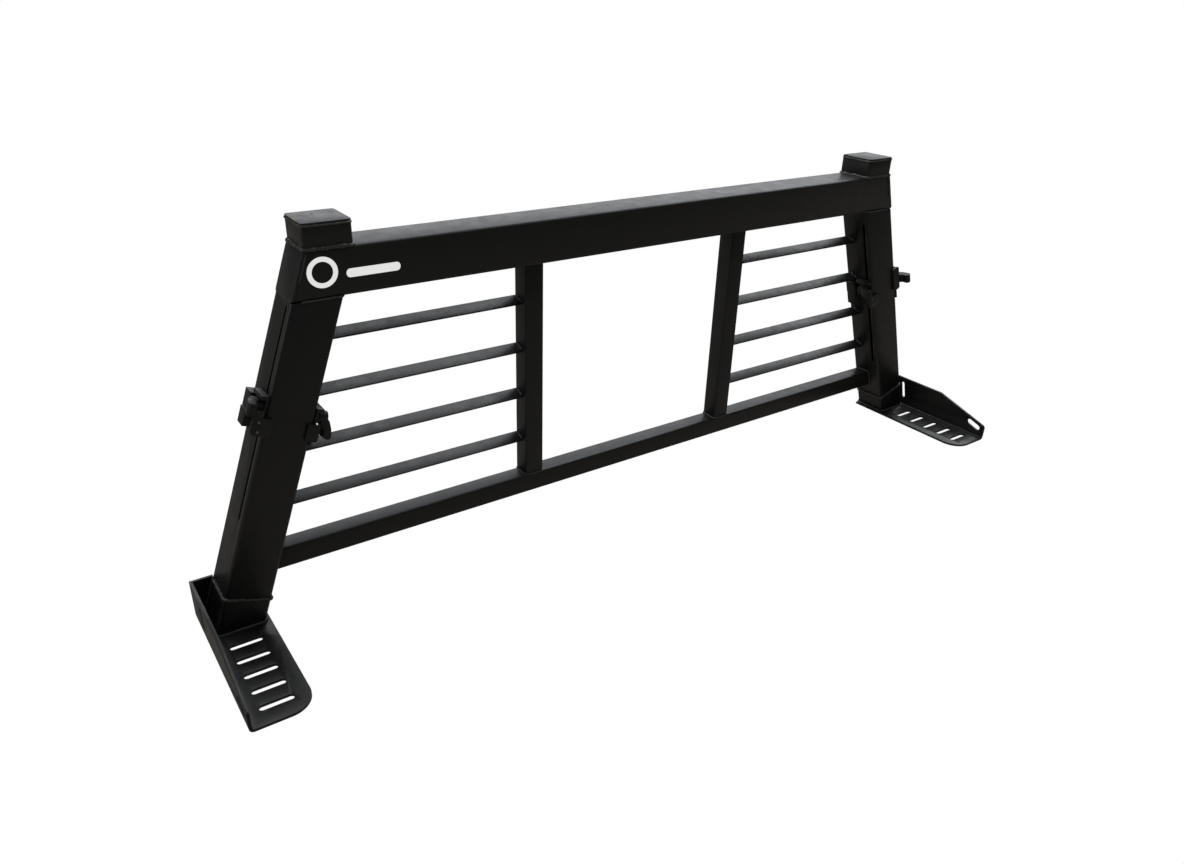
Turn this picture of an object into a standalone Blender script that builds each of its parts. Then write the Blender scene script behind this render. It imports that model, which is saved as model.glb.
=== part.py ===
"""Headache rack for a pickup bed: a square-tube frame on two slotted feet, with four sliding tie-down cleats.

Metres, +Z up. X runs across the truck, -Y is the side that the feet point to, and z = 0 is their underside.
Each sub-part is one object. The cleats and their knobs hang on empties that stand on their joints' axes.
"""

import math

import bmesh
import bpy
from mathutils import Matrix, Vector

# Stock
BIG_TUBE = 0.0762
BIG_WALL = 0.0032
BIG_CORNER = 0.006
SMALL_TUBE = 0.0381
SMALL_WALL = 0.0028
SMALL_CORNER = 0.0035
PLATE = 0.0048
GAP = 0.0003
CORNER_STEPS = 4
ROUND_STEPS = 28

# Frame
BACK_Y = 0.1537
LEG_TILT = math.radians(19.4)
LEG_FOOT_X = 0.8257
BEAM_UNDERSIDE = 0.5355
BEAM_TOP = BEAM_UNDERSIDE + BIG_TUBE
CAP_HEIGHT = 0.0381
CAP_OUTER_X = 0.6508
STUB_LENGTH = 0.0603
RAIL_UNDERSIDE = 0.0739
RAIL_TOP = RAIL_UNDERSIDE + SMALL_TUBE
RAIL_INSET = 0.006
POST_X = 0.2431

# Slats
SLAT_COUNT = 4
SLAT_WIDTH = 0.0254
SLAT_THICK = 0.0032
SLAT_TILT = math.radians(24)
SLAT_PITCH = 0.0907
SLAT_MIDDLE_Y = -0.0205

# Feet
FOOT_LENGTH = 0.3074
FOOT_OUTER_X = 0.8774
FOOT_WIDTH = 0.1016
BEND_RADIUS = 0.003
FLANGE_HEIGHT = 0.0748
FLANGE_FRONT_HEIGHT = 0.0345
FLANGE_KINK = 0.1750
FLANGE_FRONT_RADIUS = 0.008
FOOT_CORNER_RADIUS = 0.040
FOOT_SLOT_COUNT = 5
FOOT_SLOT_FIRST = 0.1137
FOOT_SLOT_PITCH = 0.03925
FOOT_SLOT_LENGTH = 0.053
FOOT_SLOT_WIDTH = 0.0118
FOOT_SLOT_X = 0.827

# Strap slots in the outer flange: middle from the back, its height, tilt down towards the front, length, width
STRAP_SLOTS = {
    "front": (0.2785, 0.0293, math.radians(18), 0.037, 0.0130),
    "rear": (0.0667, 0.0432, math.radians(76), 0.041, 0.0095),
}

# Leg slots, measured along the leg from the middle of its foot
SLOT_DEPTH = 0.0600
SLOT_WIDTH = 0.0070
SLOT_TOP = 0.5485
OUTER_SLOT_BOTTOM = 0.1954
INNER_SLOT_BOTTOM = 0.1700

# Cleats: the bolt's place along the leg, where the paddle points (degrees from the front, towards the top), and
# the front tab's top and bottom (from the bolt, up the leg) and its reach out of the face
CLEATS = {
    ("left", "outer"): (0.3920, 0.0, -0.0160, -0.0455, 0.0205),
    ("left", "inner"): (0.3800, -84.0, -0.0075, -0.0365, 0.0100),
    ("right", "outer"): (0.3640, 0.0, 0.0390, -0.0190, 0.0090),
    ("right", "inner"): (0.3865, 4.0, -0.0160, -0.0455, 0.0185),
}
BRACKET_THICK = 0.004
BRACKET_BACK = 0.050
BRACKET_LOW = 0.044
BRACKET_HIGH = 0.018
SHOULDER = 0.024
RIB_LOW = 0.0112
RIB_PROUD = 0.0125
HORN_FRONT = 0.026
HORN_LOW = 0.046
HORN_STEP = 0.021
HORN_HIGH = 0.007
HORN_OFFSET = 0.003
HORN_UPPER_PROUD = 0.0150
HORN_LOWER_PROUD = 0.0185
TAB_LAP = 0.0100
TAB_THICK = 0.0045
TAB_RADIUS = 0.0080
TAB_CHAMFER = 0.004
NECK_LAP = 0.006
UNION_LAP = 0.001
CUTTER_REACH = 0.05
BOLT_RADIUS = 0.0030
BOLT_CLEARANCE = 0.0004
BOLT_END = 0.0180
BOLT_HEAD_RADIUS = 0.0060
BOLT_HEAD_THICK = 0.0035
SLIDER_THICK = 0.0060
SLIDER_HALF_WIDTH = 0.0100
SLIDER_HALF_LENGTH = 0.0140
WASHER_RADIUS = 0.0085
WASHER_THICK = 0.0016
HUB_RADIUS = 0.0105
HUB_TOP = 0.0235
PADDLE_HALF_WIDTH = 0.0100
PADDLE_OUTLINE = (
    (0.000, 0.0130),
    (0.010, 0.0133),
    (0.0205, 0.0210),
    (0.031, 0.0213),
    (0.0345, 0.0265),
    (0.034, 0.0315),
    (0.030, 0.0345),
    (0.016, 0.0320),
    (0.004, 0.0270),
    (0.000, 0.0230),
)

SIDES = {"left": -1, "right": 1}
FACES = {"outer": 1, "inner": -1}


# Materials


def painted(name, colour, roughness, metallic):
    """A Principled material."""
    material = bpy.data.materials.new(name)
    material.use_nodes = True
    shader = material.node_tree.nodes["Principled BSDF"]
    shader.inputs["Base Color"].default_value = (*colour, 1.0)
    shader.inputs["Roughness"].default_value = roughness
    shader.inputs["Metallic"].default_value = metallic
    material.diffuse_color = (*colour, 1.0)
    return material


def make_materials():
    return {
        "frame": painted("powder_coated_steel", (0.012, 0.012, 0.012), 0.45, 0.3),
        "foot": painted("powder_coated_plate", (0.016, 0.016, 0.017), 0.42, 0.3),
        "cleat": painted("black_oxide_steel", (0.014, 0.014, 0.014), 0.5, 0.5),
        "bolt": painted("zinc_steel", (0.30, 0.30, 0.31), 0.35, 0.9),
        "knob": painted("black_nylon", (0.010, 0.010, 0.011), 0.55, 0.0),
    }


# Mesh helpers


def clear_scene():
    for obj in list(bpy.data.objects):
        bpy.data.objects.remove(obj, do_unlink=True)


def add_object(name, mesh, material=None):
    obj = bpy.data.objects.new(name, mesh)
    bpy.context.scene.collection.objects.link(obj)
    if material:
        mesh.materials.append(material)
    return obj


def add_empty(name, matrix, parent=None):
    empty = bpy.data.objects.new(name, None)
    empty.empty_display_size = 0.03
    bpy.context.scene.collection.objects.link(empty)
    empty.parent = parent
    bpy.context.view_layer.update()
    empty.matrix_world = matrix
    return empty


def arc(centre, radius, start, end, steps=CORNER_STEPS):
    """Points of a round corner, from one angle to the other in degrees."""
    angles = [math.radians(start + (end - start) * i / steps) for i in range(steps + 1)]
    return [(centre[0] + radius * math.cos(a), centre[1] + radius * math.sin(a)) for a in angles]


def rounded_rectangle(width, height, radius):
    """A rectangle about the origin with four round corners, anticlockwise."""
    x = width / 2 - radius
    y = height / 2 - radius
    corners = (((x, y), 0), ((-x, y), 90), ((-x, -y), 180), ((x, -y), 270))
    return [point for centre, start in corners for point in arc(centre, radius, start, start + 90)]


def stadium(length, width):
    """A slot's outline about the origin, long along the first axis."""
    x = (length - width) / 2
    right = arc((x, 0), width / 2, -90, 90, ROUND_STEPS // 2)
    left = arc((-x, 0), width / 2, 90, 270, ROUND_STEPS // 2)
    return right + left


def circle(radius):
    return arc((0, 0), radius, 0, 360 * (1 - 1 / ROUND_STEPS), ROUND_STEPS - 1)


def turned(points, angle, offset=(0.0, 0.0)):
    """Points turned about the origin and then shifted."""
    c = math.cos(angle)
    s = math.sin(angle)
    return [(offset[0] + c * x - s * y, offset[1] + s * x + c * y) for x, y in points]


def bar_mesh(name, outline, start, end, hole=None, round_sides=False):
    """A bar along local Z with the given section. start and end give the cut's height at a section point."""
    bm = bmesh.new()
    loops = []
    for points in (outline, hole) if hole else (outline,):
        low = [bm.verts.new((x, y, start(x, y))) for x, y in points]
        high = [bm.verts.new((x, y, end(x, y))) for x, y in points]
        loops.append((low, high))
        for i in range(len(points)):
            j = (i + 1) % len(points)
            bm.faces.new((low[i], low[j], high[j], high[i]))
    for k in (0, 1):
        if hole is None:
            bm.faces.new(loops[0][k])
            continue
        outer, inner = loops[0][k], loops[1][k]
        for i in range(len(outer)):
            j = (i + 1) % len(outer)
            bm.faces.new((outer[i], outer[j], inner[j], inner[i]))
    bmesh.ops.recalc_face_normals(bm, faces=bm.faces)
    mesh = bpy.data.meshes.new(name)
    bm.to_mesh(mesh)
    bm.free()
    if round_sides:
        mesh.shade_smooth()
        mesh.set_sharp_from_angle(angle=math.radians(35))
    return mesh


def level(height):
    """A square cut at one height."""
    return lambda x, y: height


def prism(name, outline, low, high, material=None, round_sides=False):
    return add_object(name, bar_mesh(name, outline, level(low), level(high), None, round_sides), material)


def helper(obj):
    """Marks an object as a Boolean's operand: it isn't a part."""
    obj.hide_render = True
    obj.display_type = "WIRE"
    return obj


def combine(obj, operand, operation):
    """Adds a Boolean modifier with its operand, and keeps the operand as a helper."""
    modifier = obj.modifiers.new(operand.name, "BOOLEAN")
    modifier.operation = operation
    modifier.solver = "EXACT"
    modifier.object = helper(operand)
    local = operand.matrix_basis.copy()
    operand.parent = obj.parent
    bpy.context.view_layer.update()
    operand.matrix_world = obj.matrix_world @ local


# Axes: each maps a section's local (x, y, z) to world directions


def frame_matrix(origin, x_axis, y_axis):
    """A world matrix from two axes at right angles."""
    x = Vector(x_axis).normalized()
    y = Vector(y_axis).normalized()
    rotation = Matrix((x, y, x.cross(y))).transposed()
    return Matrix.Translation(origin) @ rotation.to_4x4()


def across(origin):
    """Local Z runs along world +X, local X along +Y and local Y along +Z."""
    return frame_matrix(origin, (0, 1, 0), (0, 0, 1))


def leg_matrix(side):
    """Local X points outwards, square to the leg, and local Z runs up the leg on its centreline."""
    outward = (side * math.cos(LEG_TILT), 0, math.sin(LEG_TILT))
    centre = (side * LEG_FOOT_X, BACK_Y - BIG_TUBE / 2, 0)
    return frame_matrix(centre, outward, (0, side, 0))


def inner_face_x(z):
    """How far the leg's inner face stands from the truck's middle at this height."""
    return LEG_FOOT_X - BIG_TUBE / 2 / math.cos(LEG_TILT) - z * math.tan(LEG_TILT)


def outer_face_x(z):
    return LEG_FOOT_X + BIG_TUBE / 2 / math.cos(LEG_TILT) - z * math.tan(LEG_TILT)


# The welded frame


def make_beam(materials):
    """The top beam, cut along the legs' slant, with a plate over each end."""
    middle_z = (BEAM_UNDERSIDE + BEAM_TOP) / 2
    cap_run = (PLATE + GAP) / math.cos(LEG_TILT)

    def end(x, y):
        return outer_face_x(middle_z + y) - cap_run

    def start(x, y):
        return -end(x, y)

    outline = rounded_rectangle(BIG_TUBE, BIG_TUBE, BIG_CORNER)
    bore = rounded_rectangle(BIG_TUBE - 2 * BIG_WALL, BIG_TUBE - 2 * BIG_WALL, BIG_CORNER - BIG_WALL)
    beam = add_object("top_beam", bar_mesh("top_beam", outline, start, end, bore, True), materials["frame"])
    beam.matrix_world = across((0, BACK_Y - BIG_TUBE / 2, middle_z))
    for word, side in SIDES.items():
        name = f"beam_end_cap_{word}"
        thick = PLATE / math.cos(LEG_TILT)

        def face(x, y, side=side):
            return side * outer_face_x(middle_z + y)

        def back(x, y, side=side, thick=thick):
            return side * (outer_face_x(middle_z + y) - thick)

        cap = add_object(name, bar_mesh(name, outline, back, face, None, True), materials["frame"])
        cap.matrix_world = beam.matrix_world


def make_cap_blocks(materials):
    """A short tube on each end of the beam, closed by a plate."""
    outline = rounded_rectangle(BIG_TUBE, BIG_TUBE, BIG_CORNER)
    bore = rounded_rectangle(BIG_TUBE - 2 * BIG_WALL, BIG_TUBE - 2 * BIG_WALL, BIG_CORNER - BIG_WALL)
    tube_height = CAP_HEIGHT - PLATE
    for word, side in SIDES.items():
        centre = (side * (CAP_OUTER_X - BIG_TUBE / 2), BACK_Y - BIG_TUBE / 2, BEAM_TOP)
        name = f"cap_block_{word}"
        mesh = bar_mesh(name, outline, level(GAP), level(tube_height - GAP), bore, True)
        add_object(name, mesh, materials["frame"]).location = centre
        prism(f"cap_plate_{word}", outline, tube_height, CAP_HEIGHT, materials["frame"], True).location = centre


def make_legs(materials):
    """The two slanted legs, each with a slot up both side faces, and the stubs that carry them on the feet."""
    outline = rounded_rectangle(BIG_TUBE, BIG_TUBE, BIG_CORNER)
    bore = rounded_rectangle(BIG_TUBE - 2 * BIG_WALL, BIG_TUBE - 2 * BIG_WALL, BIG_CORNER - BIG_WALL)

    def flat_at(height):
        """A cut that is level in the world, at this height."""
        return lambda x, y: (height - x * math.sin(LEG_TILT)) / math.cos(LEG_TILT)

    for word, side in SIDES.items():
        name = f"leg_{word}"
        mesh = bar_mesh(name, outline, level(STUB_LENGTH), flat_at(BEAM_UNDERSIDE - GAP), bore, True)
        leg = add_object(name, mesh, materials["frame"])
        leg.matrix_world = leg_matrix(side)
        for face, sign in FACES.items():
            cut_leg_slot(leg, side, face, sign)
        name = f"foot_stub_{word}"
        mesh = bar_mesh(name, outline, flat_at(PLATE + GAP), level(STUB_LENGTH - GAP), bore, True)
        stub = add_object(name, mesh, materials["frame"])
        stub.matrix_world = leg_matrix(side)


def cut_leg_slot(leg, side, face, sign):
    """Cuts one face's slot through the leg's wall."""
    bottom = OUTER_SLOT_BOTTOM if face == "outer" else INNER_SLOT_BOTTOM
    length = SLOT_TOP - bottom
    outline = stadium(length, SLOT_WIDTH)
    cutter = prism(f"{leg.name}_{face}_slot_cutter", outline, BIG_TUBE / 4, BIG_TUBE)
    # The cutter's own Z points out of the face, and its length runs up the leg.
    front = side * -(SLOT_DEPTH - BIG_TUBE / 2)
    out = Vector((sign, 0, 0))
    up = Vector((0, 0, 1))
    rotation = Matrix((up, out.cross(up), out)).transposed().to_4x4()
    cutter.matrix_basis = Matrix.Translation((0, front, bottom + length / 2)) @ rotation
    combine(leg, cutter, "DIFFERENCE")


def make_rail_and_posts(materials):
    """The bottom rail between the legs, and the two posts between it and the beam."""
    outline = rounded_rectangle(SMALL_TUBE, SMALL_TUBE, SMALL_CORNER)
    inside = SMALL_TUBE - 2 * SMALL_WALL
    bore = rounded_rectangle(inside, inside, SMALL_CORNER - SMALL_WALL)
    middle_y = BACK_Y - RAIL_INSET - SMALL_TUBE / 2
    middle_z = (RAIL_UNDERSIDE + RAIL_TOP) / 2

    def end(x, y):
        return inner_face_x(middle_z + y) - GAP

    def start(x, y):
        return -end(x, y)

    mesh = bar_mesh("bottom_rail", outline, start, end, bore, True)
    rail = add_object("bottom_rail", mesh, materials["frame"])
    rail.matrix_world = across((0, middle_y, middle_z))
    for word, side in SIDES.items():
        name = f"post_{word}"
        mesh = bar_mesh(name, outline, level(RAIL_TOP + GAP), level(BEAM_UNDERSIDE - GAP), bore, True)
        add_object(name, mesh, materials["frame"]).location = (side * POST_X, middle_y, 0)


def make_slats(materials):
    """The tilted flat bars between each post and its leg, spread evenly from the rail to the beam."""
    section = turned(rounded_rectangle(SLAT_WIDTH, SLAT_THICK, SLAT_THICK / 3), SLAT_TILT)
    highest = (BEAM_UNDERSIDE + RAIL_TOP + SLAT_PITCH * (SLAT_COUNT - 1)) / 2
    near = POST_X + SMALL_TUBE / 2 + GAP
    for word, side in SIDES.items():
        for number in range(1, SLAT_COUNT + 1):
            height = highest - (number - 1) * SLAT_PITCH

            def far(x, y, height=height, side=side):
                return side * (inner_face_x(height + y) - GAP)

            name = f"slat_{word}_{number}"
            mesh = bar_mesh(name, section, level(side * near), far, None, True)
            slat = add_object(name, mesh, materials["frame"])
            slat.matrix_world = across((0, BACK_Y + SLAT_MIDDLE_Y, height))


# The feet


def foot_profile():
    """The bent plate's section: base and outer flange, about the flange's outer face and the underside."""
    outer = BEND_RADIUS + PLATE
    bend = arc((-outer, outer), outer, -90, 0)
    inside = arc((-outer, outer), BEND_RADIUS, 0, -90)
    return [(-FOOT_WIDTH, 0), *bend, (0, FLANGE_HEIGHT), (-PLATE, FLANGE_HEIGHT), *inside, (-FOOT_WIDTH, PLATE)]


def flange_outline():
    """The outer flange from the side: distance from the back, and height. It runs on below the base."""
    slope = math.atan2(FLANGE_HEIGHT - FLANGE_FRONT_HEIGHT, FOOT_LENGTH - FLANGE_KINK)
    r = FLANGE_FRONT_RADIUS
    centre_x = FOOT_LENGTH - r
    top_at_centre = FLANGE_FRONT_HEIGHT + r * math.tan(slope) - r / math.cos(slope)
    nose = arc((centre_x, top_at_centre), r, 0, 90 - math.degrees(slope))
    top = [(FLANGE_KINK, FLANGE_HEIGHT), (-PLATE, FLANGE_HEIGHT)]
    return [(-PLATE, -PLATE), (FOOT_LENGTH, -PLATE), *nose, *top]


def base_outline():
    """The foot from above: distance in from the outer face, and from the back, with a round inner corner."""
    r = FOOT_CORNER_RADIUS
    corner = arc((FOOT_WIDTH - r, FOOT_LENGTH - r), r, 90, 0, 2 * CORNER_STEPS + 2)
    return [(-PLATE, -PLATE), (-PLATE, FOOT_LENGTH), *corner, (FOOT_WIDTH, -PLATE)]


def make_feet(materials):
    """A bent slotted plate under each leg, with a back flange that closes the gap beside the leg."""
    for word, side in SIDES.items():
        name = f"foot_bracket_{word}"
        # Local Z runs from the back towards the front, and local X away from the truck's middle.
        section = [(side * x, z) for x, z in foot_profile()]
        mesh = bar_mesh(name, section, level(0), level(FOOT_LENGTH), None, True)
        foot = add_object(name, mesh, materials["foot"])
        foot.matrix_world = frame_matrix((side * FOOT_OUTER_X, BACK_Y, 0), (1, 0, 0), (0, 0, 1))
        for operand, operation in foot_operands(name, side):
            combine(foot, operand, operation)


def foot_operands(name, side):
    """The pieces that shape a foot, in its own axes: x across, y up and z from the back to the front."""
    # The back flange fills the corner between the outer flange and the leg's slanted face.
    stub_face = outer_face_x(PLATE) + 2 * GAP
    low = (stub_face - FOOT_OUTER_X, PLATE / 2)
    rise = FLANGE_HEIGHT - PLATE
    high = (low[0] - rise * math.tan(LEG_TILT), FLANGE_HEIGHT)
    flange = [low, (-PLATE / 2, PLATE / 2), (-PLATE / 2, FLANGE_HEIGHT), high]
    yield prism(f"{name}_back_flange", [(side * x, y) for x, y in flange], 0.0, PLATE), "UNION"

    yield side_prism(f"{name}_side_cut", flange_outline(), FOOT_WIDTH * 2), "INTERSECT"
    yield plan_prism(f"{name}_plan_cut", base_outline(), side, FLANGE_HEIGHT * 2), "INTERSECT"
    for number in range(FOOT_SLOT_COUNT):
        distance = FOOT_SLOT_FIRST + number * FOOT_SLOT_PITCH
        slot = stadium(FOOT_SLOT_LENGTH, FOOT_SLOT_WIDTH)
        cutter = prism(f"{name}_slot_cutter_{number + 1}", slot, -2 * PLATE, 2 * PLATE)
        turn = Matrix.Rotation(math.radians(-90), 4, "X")
        cutter.matrix_basis = Matrix.Translation((side * (FOOT_SLOT_X - FOOT_OUTER_X), 0, distance)) @ turn
        yield cutter, "DIFFERENCE"
    for place, (distance, height, tilt, length, width) in STRAP_SLOTS.items():
        outline = turned(stadium(length, width), -tilt, (distance, height))
        yield side_prism(f"{name}_{place}_strap_cutter", outline, 2 * PLATE), "DIFFERENCE"


def side_prism(name, outline, half_depth):
    """A prism across the foot on an outline of (distance from the back, height)."""
    obj = prism(name, outline, -half_depth, half_depth)
    for vertex in obj.data.vertices:
        distance, height, depth = vertex.co
        vertex.co = (depth, height, distance)
    reface(obj)
    return obj


def plan_prism(name, outline, side, half_height):
    """A prism up through the foot on an outline of (distance in from the outer face, and from the back)."""
    obj = prism(name, outline, -half_height, half_height)
    for vertex in obj.data.vertices:
        inward, distance, height = vertex.co
        vertex.co = (-side * inward, height, distance)
    reface(obj)
    return obj


def reface(obj):
    """Turns an object's faces outwards."""
    bm = bmesh.new()
    bm.from_mesh(obj.data)
    bmesh.ops.recalc_face_normals(bm, faces=bm.faces)
    bm.to_mesh(obj.data)
    bm.free()


# The cleats: local X points out of the leg's face, Z up the leg, and `hand` times Y towards the front


def cleat_matrix(side, sign, place):
    """The point of the leg's face that a cleat's bolt passes, with X along the bolt."""
    leg = leg_matrix(side)
    front = -side * (SLOT_DEPTH - BIG_TUBE / 2)
    point = leg @ Vector((sign * BIG_TUBE / 2, front, place))
    outward = leg.to_3x3() @ Vector((sign, 0, 0))
    up = leg.to_3x3() @ Vector((0, 0, 1))
    return frame_matrix(point, outward, up.cross(outward))


def out_of_face(name, outline, hand, low, high, material=None):
    """A prism on an outline of (towards the front, up), between two distances out of the leg's face."""
    obj = prism(name, outline, low, high, material)
    for vertex in obj.data.vertices:
        forward, up, out = vertex.co
        vertex.co = (out, hand * forward, up)
    reface(obj)
    return obj


def towards_front(name, outline, hand, low, high):
    """A prism on an outline of (out of the face, up), between two distances towards the front."""
    obj = prism(name, outline, low, high)
    for vertex in obj.data.vertices:
        out, up, forward = vertex.co
        vertex.co = (out, hand * forward, up)
    reface(obj)
    return obj


def box_outline(x0, x1, y0, y1):
    return [(x0, y0), (x1, y0), (x1, y1), (x0, y1)]


def attach(obj, parent):
    """Parents an object whose mesh is in the parent's own axes."""
    obj.parent = parent
    return obj


def make_bracket(label, hand, tab, parent, material):
    """The cleat's body: a plate on the leg's side, a rib, a stepped horn behind and a tab round the front."""
    name = f"cleat_bracket_{label}"
    tab_top, tab_bottom, tab_reach = tab
    front = BIG_TUBE - SLOT_DEPTH - GAP
    low = min(-BRACKET_LOW, tab_bottom)
    high = max(BRACKET_HIGH, tab_top)
    plate = [
        (-BRACKET_BACK, -HORN_LOW),
        (-SHOULDER, -HORN_LOW),
        (-SHOULDER / 2, -BRACKET_LOW),
        (0, low),
        (front, low),
        (front, high),
        (0, high),
        (-SHOULDER / 2, BRACKET_HIGH),
        (-SHOULDER, BRACKET_HIGH),
        (-SHOULDER, HORN_HIGH),
        (-BRACKET_BACK, HORN_HIGH),
    ]
    body = attach(out_of_face(name, plate, hand, GAP, BRACKET_THICK, material), parent)
    inside = BRACKET_THICK / 2
    upper = box_outline(-BRACKET_BACK - UNION_LAP, -HORN_FRONT, -HORN_STEP, HORN_HIGH + UNION_LAP)
    lower = box_outline(
        -BRACKET_BACK + HORN_OFFSET, -HORN_FRONT + HORN_OFFSET, -HORN_LOW - UNION_LAP, -HORN_STEP + UNION_LAP
    )
    rib = box_outline(-SHOULDER + UNION_LAP, front - UNION_LAP / 2, RIB_LOW, BRACKET_HIGH - UNION_LAP / 2)
    neck = box_outline(front - NECK_LAP, front + TAB_THICK, tab_bottom + UNION_LAP, tab_top - UNION_LAP)
    tab_start = front + 2 * GAP
    solids = (
        out_of_face(f"{name}_upper_horn", upper, hand, inside, HORN_UPPER_PROUD),
        out_of_face(f"{name}_lower_horn", lower, hand, inside, HORN_LOWER_PROUD),
        out_of_face(f"{name}_rib", rib, hand, inside, RIB_PROUD),
        towards_front(f"{name}_tab", tab_outline(*tab), hand, tab_start, tab_start + TAB_THICK),
        out_of_face(f"{name}_neck", neck, hand, 2 * GAP, min(BRACKET_THICK, tab_reach) + GAP),
    )
    for solid in solids:
        combine(body, solid, "UNION")
    bore = circle(BOLT_RADIUS + BOLT_CLEARANCE)
    hole = out_of_face(f"{name}_hole_cutter", bore, hand, -CUTTER_REACH, CUTTER_REACH)
    combine(body, hole, "DIFFERENCE")


def tab_outline(top, bottom, reach):
    """The front tab, seen from the front: (out of the leg's face, up), with round outer corners."""
    radius = min(TAB_RADIUS, reach / 2)
    x = reach - radius
    high = arc((x, top - radius), radius, 90, 0)
    low = arc((x, bottom + radius), radius, 0, -90)
    return [(-TAB_LAP, top), *high, *low, (-TAB_LAP + TAB_CHAMFER, bottom), (-TAB_LAP, bottom + TAB_CHAMFER)]


def round_bar(name, radius, low, high, material=None):
    """A cylinder along local X."""
    obj = prism(name, circle(radius), low, high, material, True)
    for vertex in obj.data.vertices:
        y, z, x = vertex.co
        vertex.co = (x, y, z)
    return obj


def make_clamp(label, parent, materials):
    """The slider inside the leg, its bolt through the slot, and the washer under the knob."""
    hole = BOLT_RADIUS + BOLT_CLEARANCE
    back = -BIG_WALL - GAP
    slider_name = f"cleat_slider_{label}"
    corners = box_outline(-SLIDER_HALF_WIDTH, SLIDER_HALF_WIDTH, -SLIDER_HALF_LENGTH, SLIDER_HALF_LENGTH)
    slider = out_of_face(slider_name, corners, 1, back - SLIDER_THICK, back, materials["bolt"])
    attach(slider, parent)
    combine(slider, round_bar(f"{slider_name}_hole_cutter", hole, -CUTTER_REACH, CUTTER_REACH), "DIFFERENCE")

    bolt_name = f"cleat_bolt_{label}"
    head_top = back - SLIDER_THICK - GAP
    bolt = round_bar(bolt_name, BOLT_HEAD_RADIUS, head_top - BOLT_HEAD_THICK, head_top, materials["bolt"])
    attach(bolt, parent)
    shank = round_bar(f"{bolt_name}_shank", BOLT_RADIUS, head_top - BOLT_HEAD_THICK / 2, BOLT_END)
    combine(bolt, shank, "UNION")

    washer_name = f"cleat_washer_{label}"
    low = BRACKET_THICK + GAP
    washer = round_bar(washer_name, WASHER_RADIUS, low, low + WASHER_THICK, materials["bolt"])
    attach(washer, parent)
    combine(washer, round_bar(f"{washer_name}_hole_cutter", hole, -CUTTER_REACH, CUTTER_REACH), "DIFFERENCE")


def make_knob(label, parent, material):
    """The paddle knob: a hub on the bolt, with one long paddle along local Y."""
    name = f"cleat_knob_{label}"
    low = BRACKET_THICK + WASHER_THICK + 2 * GAP
    hub = attach(round_bar(name, HUB_RADIUS, low, HUB_TOP, material), parent)
    paddle = prism(f"{name}_paddle", PADDLE_OUTLINE, -PADDLE_HALF_WIDTH, PADDLE_HALF_WIDTH)
    for vertex in paddle.data.vertices:
        y, x, z = vertex.co
        vertex.co = (x, y, z)
    reface(paddle)
    combine(hub, paddle, "UNION")
    bore = BOLT_RADIUS + BOLT_CLEARANCE
    combine(hub, round_bar(f"{name}_bore_cutter", bore, 0, BOLT_END + GAP), "DIFFERENCE")


def make_cleats(materials):
    """Four cleats, each on an empty at its bolt, and its knob on a second empty turned about the bolt."""
    for (word, face), (place, turn, *tab) in CLEATS.items():
        side = SIDES[word]
        label = f"{word}_{face}"
        base = cleat_matrix(side, FACES[face], place)
        hand = 1 if base.to_3x3().col[1].y < 0 else -1
        cleat = add_empty(f"cleat_axes_{label}", base)
        make_bracket(label, hand, tab, cleat, materials["cleat"])
        make_clamp(label, cleat, materials)
        angle = math.radians(turn) if hand > 0 else math.pi - math.radians(turn)
        knob_axes = add_empty(f"knob_axes_{label}", base @ Matrix.Rotation(angle, 4, "X"), cleat)
        make_knob(label, knob_axes, materials["knob"])


def main():
    clear_scene()
    materials = make_materials()
    make_beam(materials)
    make_cap_blocks(materials)
    make_legs(materials)
    make_rail_and_posts(materials)
    make_slats(materials)
    make_feet(materials)
    make_cleats(materials)


main()
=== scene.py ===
"""Headache rack for a pickup bed, dressed for its studio view.

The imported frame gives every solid. This file adds the finishes, eased edges, weld beads, tube seams,
rivets and the plain mark on the beam, and lights the rack on a pale floor. Metres, +Z up, -Y is the
front.
"""

import logging
import math
from dataclasses import dataclass, field
from enum import Enum
from typing import Callable, Iterable, Sequence

import bmesh
import bpy
from mathutils import Matrix, Vector

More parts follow.
